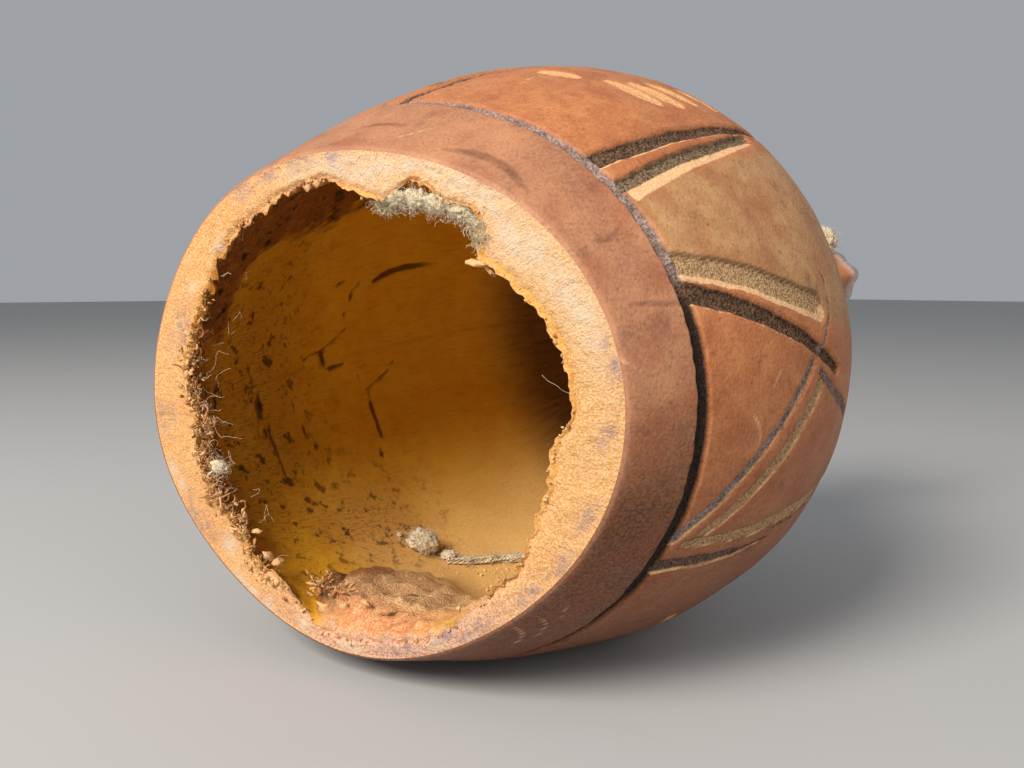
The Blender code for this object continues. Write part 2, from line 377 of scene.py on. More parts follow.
# Old scratches: (station in mm, degrees) along each, and width; the pale ones are fresher.
SCRATCHES = (
    (((11.5, 59), (13.6, 53), (14.6, 48), (14.4, 40)), 0.55), (((17.1, 29), (19, 28.6), (21.1, 30)), 0.3),
    (((18.0, 18), (21, 17.2), (24.3, 16)), 0.26), (((9.0, 84), (11, 78), (12.2, 70)), 0.4),
    (((7.5, 22), (10.5, 12), (11.5, 3)), 0.3), (((5.5, -12), (9.5, -22), (10, -31)), 0.35),
)
PALE_SCRATCHES = (
    (((10.0, -40), (12.0, -44), (12.4, -50)), 0.3), (((8.0, -44), (10.5, -49), (11.0, -56)), 0.35),
    (((12.6, -36), (13.2, -42)), 0.22), (((31.0, -2), (32.6, -6), (32.2, -9)), 0.2),
    (((36.5, 3), (34.6, 0.4)), 0.16), (((14.0, 12), (17.5, 8)), 0.18), (((12.5, 2), (15.2, 4.5)), 0.2),
    (((9.0, 70), (13.5, 66)), 0.2), (((29.5, 70), (33.5, 69)), 0.15),
)
for label, group in (("scratch", SCRATCHES), ("pale_scratch", PALE_SCRATCHES)):
    for route, width in group:
        station, turn = route_points(route, 0, 14)
        offset, along = offset_from(rind_points, station, turn, 3.0)
        inside = width * leaf_of(along) + 0.15 * wander - np.abs(offset)
        fields[label][:] = np.maximum(fields[label], inside)

# Over the top, the ring's floor away from the mouth is painted grey as a highlight on the black; its mouth
# side stays black.
on_ring = np.abs(ring_gap) < 1.1
over_top = step_up(14, 24, rind_degrees) * (1 - step_up(150, 170, rind_degrees))
ring_highlight = over_top * step_up(-0.55, -0.2, ring_gap)
greyness = np.where(on_ring, -0.6 + 1.7 * ring_highlight, greyness)

skin = roughness_of(rind_points, 0.012, 4)
radial = rind_points - (MOUTH_CENTRE + np.multiply.outer(rind_stations, AXIS))
radial /= np.linalg.norm(radial, axis=-1, keepdims=True)
edge_weight = step_up(0.0004, 0.0016, rind_stations - column_mouth)
stem_weight = step_up(0.096, 0.108, rind_stations)
ridges = np.sin(5 * np.radians(rind_degrees) + 0.6) + 0.6 * np.sin(9 * np.radians(rind_degrees))
lift = (0.16 * skin - relief) * MM * edge_weight + 0.00045 * ridges * stem_weight
rind_points = rind_points + radial * lift[..., None]
# Keeps the belly on the small flat it rests on.
rind_points[..., 2] = np.maximum(rind_points[..., 2], 0.0)

# The stem broke off and left a rough, slightly hollow end.
tip_rows = 9
tip_centre = MOUTH_CENTRE + AXIS * STEM_END
tip = []
for i in range(1, tip_rows + 1):
    inward = i / tip_rows
    ring = rind_points[-1] + (tip_centre - rind_points[-1]) * min(inward, 0.995)
    torn = roughness_of(ring, 0.0022, 4)
    fall = AXIS * ((0.9 * torn - 1.0 * inward**0.6) * MM)[:, None] if i < tip_rows else AXIS * -0.0012
    tip.append(ring + fall)
rind_points = np.concatenate([rind_points, np.stack(tip)])
tip_shape = (tip_rows, COLUMNS)


def with_tip(values, at_tip):
    return np.concatenate([values, np.full(tip_shape, at_tip)])


degrees_all = np.concatenate([rind_degrees, np.broadcast_to(column_degrees, tip_shape)])
stations_all = with_tip(rind_stations, STEM_END)
# The field between the first two lines of each panel is scraped paler; below it is darker.
pale_field = np.zeros(rind_stations.shape)
for shift in PANEL_TURNS:
    climb = (rind_stations / MM - 24) / 21
    low_side = 22.5 - 13 * climb + shift
    high_side = 35.0 + 3.5 * climb + shift
    inside = np.minimum(turn_gap(rind_degrees, low_side), -turn_gap(rind_degrees, high_side))
    inside = np.minimum(inside, ring_gap)
    inside = np.minimum(inside, (FAR_RING_AT - rind_stations) / MM)
    pale_field = np.maximum(pale_field, step_up(-0.5, 2.0, inside))
collar = (1 - step_up(-1.0, 0.5, ring_gap)) * step_up(-2, 1, (rind_stations - column_mouth) / MM)
# Painted shade: how far each point faces down, used to darken the collar and the rind below.
underside_shade = 0.5 - 0.5 * np.sin(np.radians(rind_degrees + 8))
# Painted highlight: a pale band along the rind's edge by the mouth.
edge_highlight = 1 - step_up(0.0, 0.0010, rind_stations - column_mouth)
rind_fields = {name: with_tip(values, -9.0) for name, values in fields.items()}
rind_fields["greyness"] = with_tip(greyness, 0.0)
rind_fields["pale_field"] = with_tip(pale_field, 0.0)
rind_fields["collar"] = with_tip(collar, 0.0)
rind_fields["underside_shade"] = with_tip(underside_shade, 0.5)
rind_fields["edge_highlight"] = with_tip(edge_highlight, 0.0)
rind_fields["around_mm"] = np.radians(degrees_all) * 42
rind_fields["along_mm"] = stations_all / MM
rind_fields["broken_end"] = np.concatenate([step_up(0.1160, 0.1188, rind_stations), np.ones(tip_shape)])


def paint(red, green, blue):
    """A colour given as 0 to 255 for the eye, as the linear values a shader takes."""
    linear = []
    for value in (red, green, blue):
        v = value / 255
        linear.append(v / 12.92 if v <= 0.04045 else ((v + 0.055) / 1.055) ** 2.4)
    return (*linear, 1.0)


def add_node(tree, kind, settings=None, **sockets):
    """A node in a tree. A socket takes a plain value, or another node's output to be joined."""
    node = tree.nodes.new(kind)
    for name, value in (settings or {}).items():
        setattr(node, name, value)
    for name, value in sockets.items():
        place = int(name[1:]) if name[0] == "i" and name[1:].isdigit() else name.replace("_", " ")
        if isinstance(value, bpy.types.NodeSocket):
            tree.links.new(value, node.inputs[place])
        else:
            node.inputs[place].default_value = value
    return node


def math_node(tree, operation, first, second):
    return add_node(tree, "ShaderNodeMath", {"operation": operation}, i0=first, i1=second).outputs[0]


def ramp(tree, value, low, high, start=0.0, end=1.0):
    """Maps a value from one range to another, held at both ends."""
    node = add_node(tree, "ShaderNodeMapRange", {"clamp": True}, i0=value, i1=low, i2=high, i3=start, i4=end)
    return node.outputs[0]


def times(tree, first, second):
    return math_node(tree, "MULTIPLY", first, second)


def blend(tree, share, first, second):
    return add_node(tree, "ShaderNodeMix", {"data_type": "RGBA"}, i0=share, i6=first, i7=second).outputs[2]


def tint(tree, under, share, strength, over):
    """Lays a colour over another, as far as a share of the surface times a strength."""
    return blend(tree, times(tree, share, strength), under, over)


def field_of(tree, name):
    node = tree.nodes.new("ShaderNodeAttribute")
    node.attribute_name = name
    return node.outputs["Fac"]


def new_group(name, inputs, outputs):
    """An empty node group with float inputs (name: default) and float outputs."""
    group = bpy.data.node_groups.new(name, "ShaderNodeTree")
    for label, value in inputs.items():
        socket = group.interface.new_socket(label, in_out="INPUT", socket_type="NodeSocketFloat")
        socket.default_value = value
    for label in outputs:
        group.interface.new_socket(label, in_out="OUTPUT", socket_type="NodeSocketFloat")
    return group, group.nodes.new("NodeGroupInput"), group.nodes.new("NodeGroupOutput")


def place_group(tree, group, **sockets):
    node = tree.nodes.new("ShaderNodeGroup")
    node.node_tree = group
    for name, value in sockets.items():
        label = name.replace("_", " ")
        if isinstance(value, bpy.types.NodeSocket):
            tree.links.new(value, node.inputs[label])
        else:
            node.inputs[label].default_value = value
    return node.outputs


# Shared effect: soft blotches of a size in millimetres.
blotch_inputs = {"Size mm": 5.0, "Low": 0.4, "High": 0.6, "Shift": 0.0}
blotches, given, put = new_group("blotches", blotch_inputs, ["Mask"])
where = add_node(blotches, "ShaderNodeTexCoord").outputs["Object"]
finer = math_node(blotches, "DIVIDE", 1 / MM, given.outputs["Size mm"])
cloud = add_node(
    blotches, "ShaderNodeTexNoise", {"noise_dimensions": "4D"},
    Vector=where, W=given.outputs["Shift"], Scale=finer, Detail=4.0, Roughness=0.6,
)
mask = ramp(blotches, cloud.outputs[0], given.outputs["Low"], given.outputs["High"])
blotches.links.new(mask, put.inputs[0])



def blotch(tree, size_mm, low, high, shift=0.0):
    return place_group(tree, blotches, Size_mm=size_mm, Low=low, High=high, Shift=shift)[0]


# Shared effect: a packed granular surface, like sand or dry pith.
granules, given, put = new_group("granules", {"Size mm": 0.4}, ["Height", "Grain"])
where = add_node(granules, "ShaderNodeTexCoord").outputs["Object"]
finer = math_node(granules, "DIVIDE", 1 / MM, given.outputs["Size mm"])
cells = add_node(
    granules, "ShaderNodeTexVoronoi", {"feature": "SMOOTH_F1"}, Vector=where, Scale=finer, Smoothness=0.6,
)
cloud = add_node(granules, "ShaderNodeTexNoise", {}, Vector=where, Scale=finer, Detail=3.0, Roughness=0.7)
lumps = math_node(granules, "SUBTRACT", cloud.outputs[0], times(granules, cells.outputs[0], 0.5))
granules.links.new(lumps, put.inputs[0])
granules.links.new(ramp(granules, lumps, 0.1, 0.42), put.inputs[1])

# Shared effect: streaks that run along the gourd, from its own round-and-along measures.
streak_inputs = {"Around mm": 0.5, "Along mm": 6.0, "Low": 0.4, "High": 0.6}
streaks, given, put = new_group("streaks", streak_inputs, ["Mask"])
round_it = math_node(streaks, "DIVIDE", field_of(streaks, "around_mm"), given.outputs["Around mm"])
along_it = math_node(streaks, "DIVIDE", field_of(streaks, "along_mm"), given.outputs["Along mm"])
where = add_node(streaks, "ShaderNodeCombineXYZ", {}, X=round_it, Y=along_it).outputs[0]
cloud = add_node(streaks, "ShaderNodeTexNoise", {}, Vector=where, Scale=1.0, Detail=3.0, Roughness=0.6)
mask = ramp(streaks, cloud.outputs[0], given.outputs["Low"], given.outputs["High"])
streaks.links.new(mask, put.inputs[0])


def new_material(name, roughness):
    """A material, its tree and its Principled shader."""
    material = bpy.data.materials.new(name)
    material.use_nodes = True
    shader = material.node_tree.nodes["Principled BSDF"]
    shader.inputs["Roughness"].default_value = roughness
    shader.inputs["Specular IOR Level"].default_value = 0.22
    return material, material.node_tree, shader


def join(tree, output, shader, socket):
    tree.links.new(output, shader.inputs[socket])


def bump_from(tree, height, distance_mm, strength=1.0, over=None):
    node = add_node(tree, "ShaderNodeBump", {}, Height=height)
    node.inputs["Distance"].default_value = distance_mm * MM
    node.inputs["Strength"].default_value = strength
    if over is not None:
        tree.links.new(over, node.inputs["Normal"])
    return node.outputs[0]


rind, tree, shader = new_material("rind", 0.5)
wide = blotch(tree, 9.0, 0.38, 0.64)
mid = blotch(tree, 2.6, 0.42, 0.66, 3.0)
pores = blotch(tree, 0.42, 0.55, 0.70, 7.0)
grain = place_group(tree, streaks, Around_mm=0.35, Along_mm=2.2, Low=0.35, High=0.7)[0]
colour = blend(tree, wide, paint(180, 108, 64), paint(158, 92, 54))
colour = tint(tree, colour, mid, 0.5, paint(196, 126, 78))
tan = blend(tree, mid, paint(164, 118, 76), paint(180, 136, 92))
colour = blend(tree, field_of(tree, "pale_field"), colour, tan)
collar_colour = blend(tree, wide, paint(176, 122, 90), paint(146, 98, 76))
colour = tint(tree, colour, field_of(tree, "collar"), 0.85, collar_colour)
# Painted shade: the collar and the rind are darkened where they turn under.
turned_under_shade = ramp(tree, field_of(tree, "underside_shade"), 0.39, 0.56, 0, 0.92)
collar_low_shade = times(tree, field_of(tree, "collar"), turned_under_shade)
colour = blend(tree, collar_low_shade, colour, blend(tree, mid, paint(64, 26, 12), paint(84, 42, 24)))
low_shade_share = ramp(tree, field_of(tree, "underside_shade"), 0.42, 0.86, 0.0, 0.9)
colour = blend(tree, low_shade_share, colour, paint(86, 42, 24))
colour = tint(tree, colour, pores, 0.45, paint(92, 48, 32))
dots = place_group(tree, granules, Size_mm=0.40)["Grain"]
colour = tint(tree, colour, dots, 0.16, paint(226, 170, 118))
colour = tint(tree, colour, grain, 0.06, paint(224, 160, 104))
redder = blotch(tree, 5.5, 0.46, 0.66, 17.0)
colour = tint(tree, colour, redder, 0.42, paint(140, 68, 38))
smudge = blotch(tree, 4.0, 0.60, 0.74, 11.0)
colour = tint(tree, colour, smudge, 0.45, paint(92, 56, 46))
# Painted highlight along the rind's edge by the mouth.
colour = tint(tree, colour, field_of(tree, "edge_highlight"), 0.15, paint(206, 160, 130))

speck = place_group(tree, granules, Size_mm=0.30)
speck_mask = speck["Grain"]
ink_share = ramp(tree, field_of(tree, "ink"), -0.12, 0.12)
ink_patch = blotch(tree, 1.3, 0.42, 0.58, 5.0)
grey = field_of(tree, "greyness")
black = blend(tree, speck_mask, paint(50, 35, 26), paint(130, 94, 66))
# Painted highlight: grey over the black fill of the ink lines, as far as their greyness.
ink_highlight = blend(tree, speck_mask, paint(126, 104, 98), paint(188, 160, 146))
ink_colour = blend(tree, grey, black, ink_highlight)
blackest = ramp(tree, grey, -0.6, -0.1, 0.75, 0.0)
ink_colour = blend(tree, blackest, ink_colour, paint(18, 15, 14))
ink_colour = tint(tree, ink_colour, ink_patch, 0.4, paint(34, 26, 24))
sand_colour = blend(tree, speck_mask, paint(142, 108, 74), paint(204, 164, 118))
clay = blend(tree, speck_mask, paint(76, 60, 46), paint(146, 122, 92))
sand_colour = blend(tree, ramp(tree, grey, 0, 1), sand_colour, clay)
sand_share = ramp(tree, field_of(tree, "sand"), -0.12, 0.15)
lip_share = ramp(tree, field_of(tree, "lip"), -0.02, 0.14)
lip_colour = blend(tree, speck_mask, paint(206, 156, 108), paint(226, 184, 138))
scrape_colour = blend(tree, speck_mask, paint(206, 146, 92), paint(236, 184, 130))
scrape_share = ramp(tree, field_of(tree, "scrape"), -0.15, 0.35)
scratch_share = times(tree, ramp(tree, field_of(tree, "scratch"), -0.25, 0.25), 0.55)
colour = blend(tree, scratch_share, colour, paint(74, 44, 34))
pale_share = times(tree, ramp(tree, field_of(tree, "pale_scratch"), -0.15, 0.2), 0.6)
colour = blend(tree, pale_share, colour, paint(226, 178, 140))
colour = tint(tree, colour, scrape_share, 0.9, scrape_colour)
colour = blend(tree, lip_share, colour, lip_colour)
colour = blend(tree, sand_share, colour, sand_colour)
# Painted shade along the steep wall of each sand groove.
groove_wall_shade_share = times(tree, ramp(tree, field_of(tree, "groove_wall_shade"), -0.1, 0.1), 0.6)
colour = blend(tree, groove_wall_shade_share, colour, paint(76, 56, 42))
colour = blend(tree, ink_share, colour, ink_colour)
end_colour = blend(tree, speck_mask, paint(196, 170, 160), paint(236, 222, 214))
colour = blend(tree, field_of(tree, "broken_end"), colour, end_colour)
join(tree, colour, shader, "Base Color")
carved = math_node(tree, "MAXIMUM", ink_share, sand_share)
carved = math_node(tree, "MAXIMUM", carved, times(tree, scrape_share, 0.5))
worn = times(tree, wide, 0.1)
join(tree, math_node(tree, "ADD", ramp(tree, carved, 0, 1, 0.42, 0.85), worn), shader, "Roughness")
height = times(tree, speck["Height"], carved)
normal = bump_from(tree, height, 0.34, 0.8)
fine = math_node(tree, "ADD", times(tree, pores, -0.7), times(tree, dots, 0.6))
normal = bump_from(tree, fine, 0.05, 0.8, normal)
sunk = times(tree, math_node(tree, "MAXIMUM", ink_share, sand_share), -1.0)
normal = bump_from(tree, sunk, 0.12, 0.7, normal)
join(tree, normal, shader, "Normal")

rind_piece = make_piece("gourd_rind", rind_points, grid_faces(len(rind_points), COLUMNS), rind, rind_fields)
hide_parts("gourd_shell")

# ---------------------------------------------------------------------------
# The pith: the thick, granular wall that the saw laid bare round the mouth, and the smooth
# ochre lining behind it, with mould, cracks and a torn edge, and painted shade on its left, behind the torn
# edge and deep inside. Low down, part of the wall broke inwards and left a dusty shelf.
# ---------------------------------------------------------------------------
# Width of the sawn face at places round the mouth, as (degrees, mm). It is wide on the left,
# nearly gone over the shelf, and broken back in a notch at the top.
RIM_EDGE = (
    (-180, 11), (-165, 10), (-148, 8.3), (-131, 8.2), (-124, 6), (-111, 6), (-94, 2.4), (-75, 2.7),
    (-58, 2.5), (-43, 4.2), (-32, 5), (-22, 7), (-14, 7.8), (-2, 8.4), (2, 7), (8, 7.2), (14, 7), (26, 7.8),
    (32, 8.3), (38, 8.7), (44, 4.4), (50, 4.4), (55, 4), (59, 3.1), (65, 6), (74, 5.2), (82, 3.5), (90, 4.2),
    (98, 4.2), (104, 5.2), (110, 4.5), (115, 4.8), (130, 7), (160, 8), (171, 9),
)
LINING_WALL = 4.2
CAVITY_SHOULDER = 0.084
CAVITY_END = 0.106


def rim_width(degrees):
    """Width of the sawn face, in mm."""
    before = [(angle - 360, width) for angle, width in RIM_EDGE[-3:]]
    after = [(angle + 360, width) for angle, width in RIM_EDGE[:3]]
    angles, widths = zip(*before, *RIM_EDGE, *after)
    return smooth_curve(angles, widths, turn_gap(degrees, 0))


def rim_at(degrees):
    return float(rim_width(np.array([degrees]))[0])


torn_side = hump(column_degrees, 178, 62, 4)
rag = roughness_of(sawn_plane_point(column_turn, rim_width(column_degrees) * MM), 0.0016, 4)
column_rim = rim_width(column_degrees) + rag * (0.45 + 0.45 * torn_side)
FACE_ROWS = 20
parts = np.arange(FACE_ROWS + 1) / FACE_ROWS
face_rows = []
for part in parts:
    inset = EDGE_ROUND + (column_rim * MM - EDGE_ROUND) * part
    face_rows.append(sawn_plane_point(column_turn, inset))
face_points = np.stack(face_rows)
face_share = np.repeat(parts[:, None], COLUMNS, axis=1)
grit = roughness_of(face_points, 0.0007, 3)
swell = roughness_of(face_points, 0.006, 3)
crumbled = step_up(0.75, 1.0, face_share) * (0.5 + 0.4 * torn_side)
face_lift = 0.16 * grit + 0.22 * swell - crumbled
face_lift *= step_up(0.0, 0.12, face_share)
ridge_line = np.exp(-(((face_share * column_rim - 6.4) / 0.22) ** 2)) * hump(column_degrees, 155, 24, 6)
face_lift += 0.35 * ridge_line
face_points = face_points - np.multiply.outer(face_lift * MM, mouth_normal)

# The lining starts where the sawn face ends, so each column begins at its own station.
inner_edge = sawn_plane_point(column_turn, column_rim * MM) - MOUTH_CENTRE
inner_station = inner_edge @ AXIS
inner_reach = np.hypot(inner_edge @ OVAL_LONG, inner_edge @ OVAL_SHORT / OVAL_SQUASH)
edge_wall = (body_radius(inner_station, column_turn) - inner_reach) / MM
LINING_ROWS = 76
lining_reach = (np.arange(1, LINING_ROWS + 1) / (LINING_ROWS + 1)) ** 1.8
lining_depth = lining_reach[:, None] * (CAVITY_END - inner_station)
lining_station = inner_station + lining_depth
lining_degrees = np.broadcast_to(column_degrees, lining_depth.shape)
lining_turn = np.broadcast_to(column_turn, lining_depth.shape)
depth_mm = lining_depth / MM
# The torn edge falls away quickly behind the rim; the shelf stands over the low side.
fall_off = np.exp(-depth_mm / 2.6)
wall = LINING_WALL + (edge_wall - LINING_WALL) * fall_off
shelf_left = -94 - 14 * np.minimum(1, depth_mm / 6)
shelf_side = step_up(-3.0, 2.0, turn_gap(lining_degrees, shelf_left))
shelf_side *= 1 - step_up(-54, -32, np.where(lining_degrees > 90, -180, lining_degrees))
shelf_side *= np.where(np.abs(turn_gap(lining_degrees, -70)) < 80, 1, 0)
climb_over = 2.4 + 6.5 * step_up(-96, -80, lining_degrees)
shelf_run = step_up(-0.4, 1, depth_mm / climb_over) * (1 - step_up(18, 33, depth_mm))
shelf = shelf_side * shelf_run
plain = on_body(lining_station, lining_turn, wall * MM)
shelf_rough = roughness_of(plain, 0.0026, 5)
shelf_height = 5.2 - 2.4 * step_up(-104, -60, lining_degrees)
shelf_chips = roughness_of(plain, 0.0009, 3)
wall = wall + shelf * (shelf_height + 1.1 * shelf_rough + 0.35 * shelf_chips)
closing = np.clip((lining_station - CAVITY_SHOULDER) / (CAVITY_END - CAVITY_SHOULDER), 0, 1)
r_out = body_radius(lining_station, lining_turn)
wall = np.where(closing > 0, (r_out - (r_out - wall * MM) * np.sqrt(1 - closing**2)) / MM, wall)
# Torn fibres behind the rim, soft creases deeper in, ribs towards the stem.
near_rim = np.exp(-((depth_mm / 5.0) ** 2))
fibre_place = np.stack(
    [np.radians(lining_degrees) * 0.03, lining_station * 0.22, 0 * lining_station], axis=-1
)
fibres = roughness_of(fibre_place, 0.0007, 3)
crumple = roughness_of(plain, 0.0016, 4)
soft = roughness_of(plain, 0.010, 3)
# Deep in the hollow: ribs in the wall, and painted shade on the lining.
deep = step_up(0.054, 0.066, lining_station)
# Behind the upper left of the rim a strip of the lining tore away in dark fibres; their dark is partly
# painted shade under the rim.
strip_edge = np.interp(lining_station / MM, (0.5, 2.3, 4.2, 7.2, 11.5, 36), (158, 149, 140, 136, 134, 139))
strip = 1 - step_up(-3, 1.5, lining_degrees - strip_edge + 3.5 * crumple + 5 * soft + 2.5 * fibres)
strip *= step_up(70, 84, lining_degrees) * (1 - step_up(30, 44, depth_mm))
wall = wall + near_rim * (0.25 + 0.75 * torn_side) * (0.16 * fibres + 0.85 * crumple)
wall = wall + strip * (0.5 + 0.5 * crumple + 0.3 * fibres)
wall = wall + 0.30 * soft + deep * 0.9 * fibres + 0.05 * crumple
# Cracks in the dry lining: (station in mm, degrees) along each, and width.
CRACKS = (
    (((4.6, 170), (5.9, 178), (6.5, 187), (7.1, 198), (6.7, 219)), 0.42),
    (((3.6, 176), (4.9, 184), (5.4, 190)), 0.3),
    (((12.6, 185), (13.5, 190), (13.9, 195), (16.4, 205), (18.6, 212)), 0.34),
    (((29.0, 185), (29.8, 190), (30.2, 201), (27.5, 212)), 0.5),
    (((29.8, 190), (34.5, 187), (38, 183)), 0.4),
    (((33.6, 161), (36.6, 159), (42.2, 158), (48.6, 158)), 0.75),
    (((27.0, 169), (29.5, 162), (31.5, 159)), 0.4), (((24.5, 160), (27.0, 158), (29.0, 158)), 0.3),
    (((21.1, 176), (22.4, 181), (26.4, 181)), 0.6),
    (((16.9, 177), (19.2, 176), (21.1, 176), (26.0, 173), (28.5, 171)), 0.32),
    (((17.0, 200), (18.6, 204), (19.5, 209)), 0.25), (((4.0, 268), (6.5, 271), (8.0, 270)), 0.4),
    (((8.0, 272), (10.2, 271.5), (11.4, 270.5)), 0.35), (((2.6, 276), (3.6, 279), (5.5, 279)), 0.35),
    (((5.0, 261), (7.5, 263), (12.0, 262)), 0.25),
    (((2.0, 258), (5.4, 252), (8.0, 250.5), (7.6, 256)), 0.5), (((12, 266), (15, 269), (19, 268)), 0.25),
)
crack = np.full(depth_mm.shape, -9.0)
lining_place = on_body(lining_station, lining_turn)
for route, width in CRACKS:
    station, turn = route_points(route, 0, 20)
    offset, along = offset_from(lining_place, station, turn, 3.0)
    crack = np.maximum(crack, width * leaf_of(along, 0.05) + 0.22 * crumple - np.abs(offset))
wall = wall - 0.3 * step_up(-0.3, 0.2, crack)
lining_points = on_body(lining_station, lining_turn, wall * MM)
cavity_tip = (MOUTH_CENTRE + AXIS * CAVITY_END).reshape(1, 3)

pith_points = np.concatenate([face_points, lining_points]).reshape(-1, 3)
pith_rows = len(face_points) + len(lining_points)
pith_faces = grid_faces(pith_rows, COLUMNS)[:, ::-1].tolist()
last = (pith_rows - 1) * COLUMNS
for i in range(COLUMNS):
    pith_faces.append((last + i, len(pith_points), last + (i + 1) % COLUMNS))
pith_points = np.concatenate([pith_points, cavity_tip])


def pith_field(face_values, lining_values, at_tip=0.0):
    """A field over the sawn face and the lining, one value a point."""
    face_part = np.broadcast_to(face_values, face_share.shape).ravel()
    lining_part = np.broadcast_to(lining_values, depth_mm.shape).ravel()
    return np.concatenate([face_part, lining_part, [at_tip]])


# Pale wool and chalk over the top, rose and grey along the bottom, blue bruises by the edge.
CHALK = (
    (75, 17, 0.45, 0.5), (60, 16, 0.3, 0.35), (47, 12, 0.35, 0.45), (35, 10, 0.4, 0.35), (22, 12, 0.35, 0.3),
)
SCUFFS = (
    (-133, 3, 0.45, 0.2), (-124, 3, 0.1, 0.14), (-119, 3, 0.12, 0.14), (-113, 2, 0.15, 0.2),
    (-101, 2, 0.4, 0.3), (-163, 2.5, 0.1, 0.08), (-158, 2, 0.17, 0.1), (35, 2, 0.27, 0.12),
    (31, 2, 0.3, 0.12), (136, 2, 0.55, 0.1), (120, 2, 0.75, 0.15), (-86, 3, 0.5, 0.4), (-62, 2, 0.6, 0.3),
)
BRUISES = (
    (105, 4, 0.0, 0.5), (97, 4, 0.1, 0.4), (88, 5, 0.2, 0.35), (80, 3, 0.2, 0.3), (151, 7, 0.5, 0.25),
    (180, 6, 0.2, 0.2), (-146, 9, 0.2, 0.25), (-1, 2.6, 0.28, 0.16), (-16, 3, 0.24, 0.16),
    (-36, 5, 0.28, 0.25), (-50, 6, 0.4, 0.4), (-58, 6, 0.8, 0.35), (-72, 7, 0.5, 0.5), (-54, 5, 0.2, 0.3),
    (10, 5, 0.1, 0.12), (-26, 4, 0.15, 0.15),
)


def patches_on_face(patches):
    """Soft patches on the sawn face: angle, its spread, share of the width, its spread."""
    field = np.zeros(face_share.shape)
    for centre, spread, share_at, share_spread in patches:
        across = np.exp(-(((face_share - share_at) / share_spread) ** 2))
        field = np.maximum(field, hump(column_degrees, centre, spread) * across)
    return field


chalk = patches_on_face(CHALK + SCUFFS)
bruise = patches_on_face(BRUISES)
rose = hump(column_degrees, -75, 34, 4)
cream = hump(column_degrees, 8, 34, 4)
# The mould field is partly dark mottling and partly painted shade, over the left of the lining and low on
# the left.
left_lining = hump(lining_degrees, 190, 66, 4)
mould_and_shade = left_lining * (1 - step_up(14, 36, depth_mm))
# Painted shade low on the left, just behind the rim.
low_left_shade = hump(lining_degrees, -134, 20) * step_up(1, 5, depth_mm)
mould_and_shade = np.maximum(mould_and_shade, low_left_shade * (1 - step_up(26, 50, depth_mm)))
floor_dust = hump(lining_degrees, -98, 42, 4) * step_up(10, 26, depth_mm)
orange_front = hump(lining_degrees, -80, 20, 4) * (1 - step_up(3.5, 8, depth_mm))
chunk_face = np.exp(-(((turn_gap(lining_degrees, shelf_left) - 1.0) / 4.5) ** 4)) * step_up(0.3, 2, depth_mm)
chunk_face *= 1 - step_up(12, 20, depth_mm)
# The torn band, painted dark partly as torn fibres and partly as the shade under the rim.
torn_face = torn_side * step_up(0.72, 0.92, face_share + 0.05 * grit)
bare_edge = (1 - torn_side) * np.exp(-((depth_mm / 1.1) ** 2))
torn_lining = near_rim * (0.35 + 0.65 * torn_side) * (1 - 0.8 * shelf_side)
torn_lining = np.maximum(torn_lining, np.maximum(strip, chunk_face))
pith_fields = {
    "face": pith_field(1.0 - torn_face, 0.6 * bare_edge),
    "chalk": pith_field(chalk, 0.0),
    "bruise": pith_field(bruise, 0.0),
    "rose": pith_field(rose, orange_front * shelf_side),
    "cream": pith_field(cream, 0.0),
    "torn": pith_field(torn_face, torn_lining),
    "mould_and_shade": pith_field(0.0, mould_and_shade),
    "floor_dust": pith_field(0.0, floor_dust),
    "shelf": pith_field(0.0, shelf),
    "deep": pith_field(0.0, deep, 1.0),
    "crack": pith_field(-9.0, crack, -9.0),
    "around_mm": pith_field(np.radians(column_degrees) * 34, np.radians(lining_degrees) * 34),
    "along_mm": pith_field(face_share * 8, lining_station / MM + 8),
}

pith, tree, shader = new_material("pith", 0.8)
crumb = place_group(tree, granules, Size_mm=0.30)
fine_crumb = place_group(tree, granules, Size_mm=0.22)
soft_patch = blotch(tree, 4.5, 0.36, 0.66, 2.0)
small_patch = blotch(tree, 1.4, 0.40, 0.62, 4.0)
sawn = blend(tree, crumb["Grain"], paint(214, 152, 90), paint(240, 194, 138))
sawn = tint(tree, sawn, soft_patch, 0.35, paint(216, 140, 66))
creamy = blend(tree, crumb["Grain"], paint(210, 152, 90), paint(228, 184, 130))
sawn = blend(tree, field_of(tree, "cream"), sawn, creamy)
rosy = blend(tree, crumb["Grain"], paint(188, 132, 102), paint(230, 190, 164))
sawn = tint(tree, sawn, field_of(tree, "rose"), 0.8, rosy)
chalk_share = times(tree, field_of(tree, "chalk"), ramp(tree, small_patch, 0, 1, 0.5, 0.95))
sawn = blend(tree, chalk_share, sawn, paint(216, 194, 168))
bruise_share = times(tree, field_of(tree, "bruise"), ramp(tree, small_patch, 0, 1, 0.1, 0.95))
sawn = tint(tree, sawn, bruise_share, 0.75, paint(132, 116, 130))

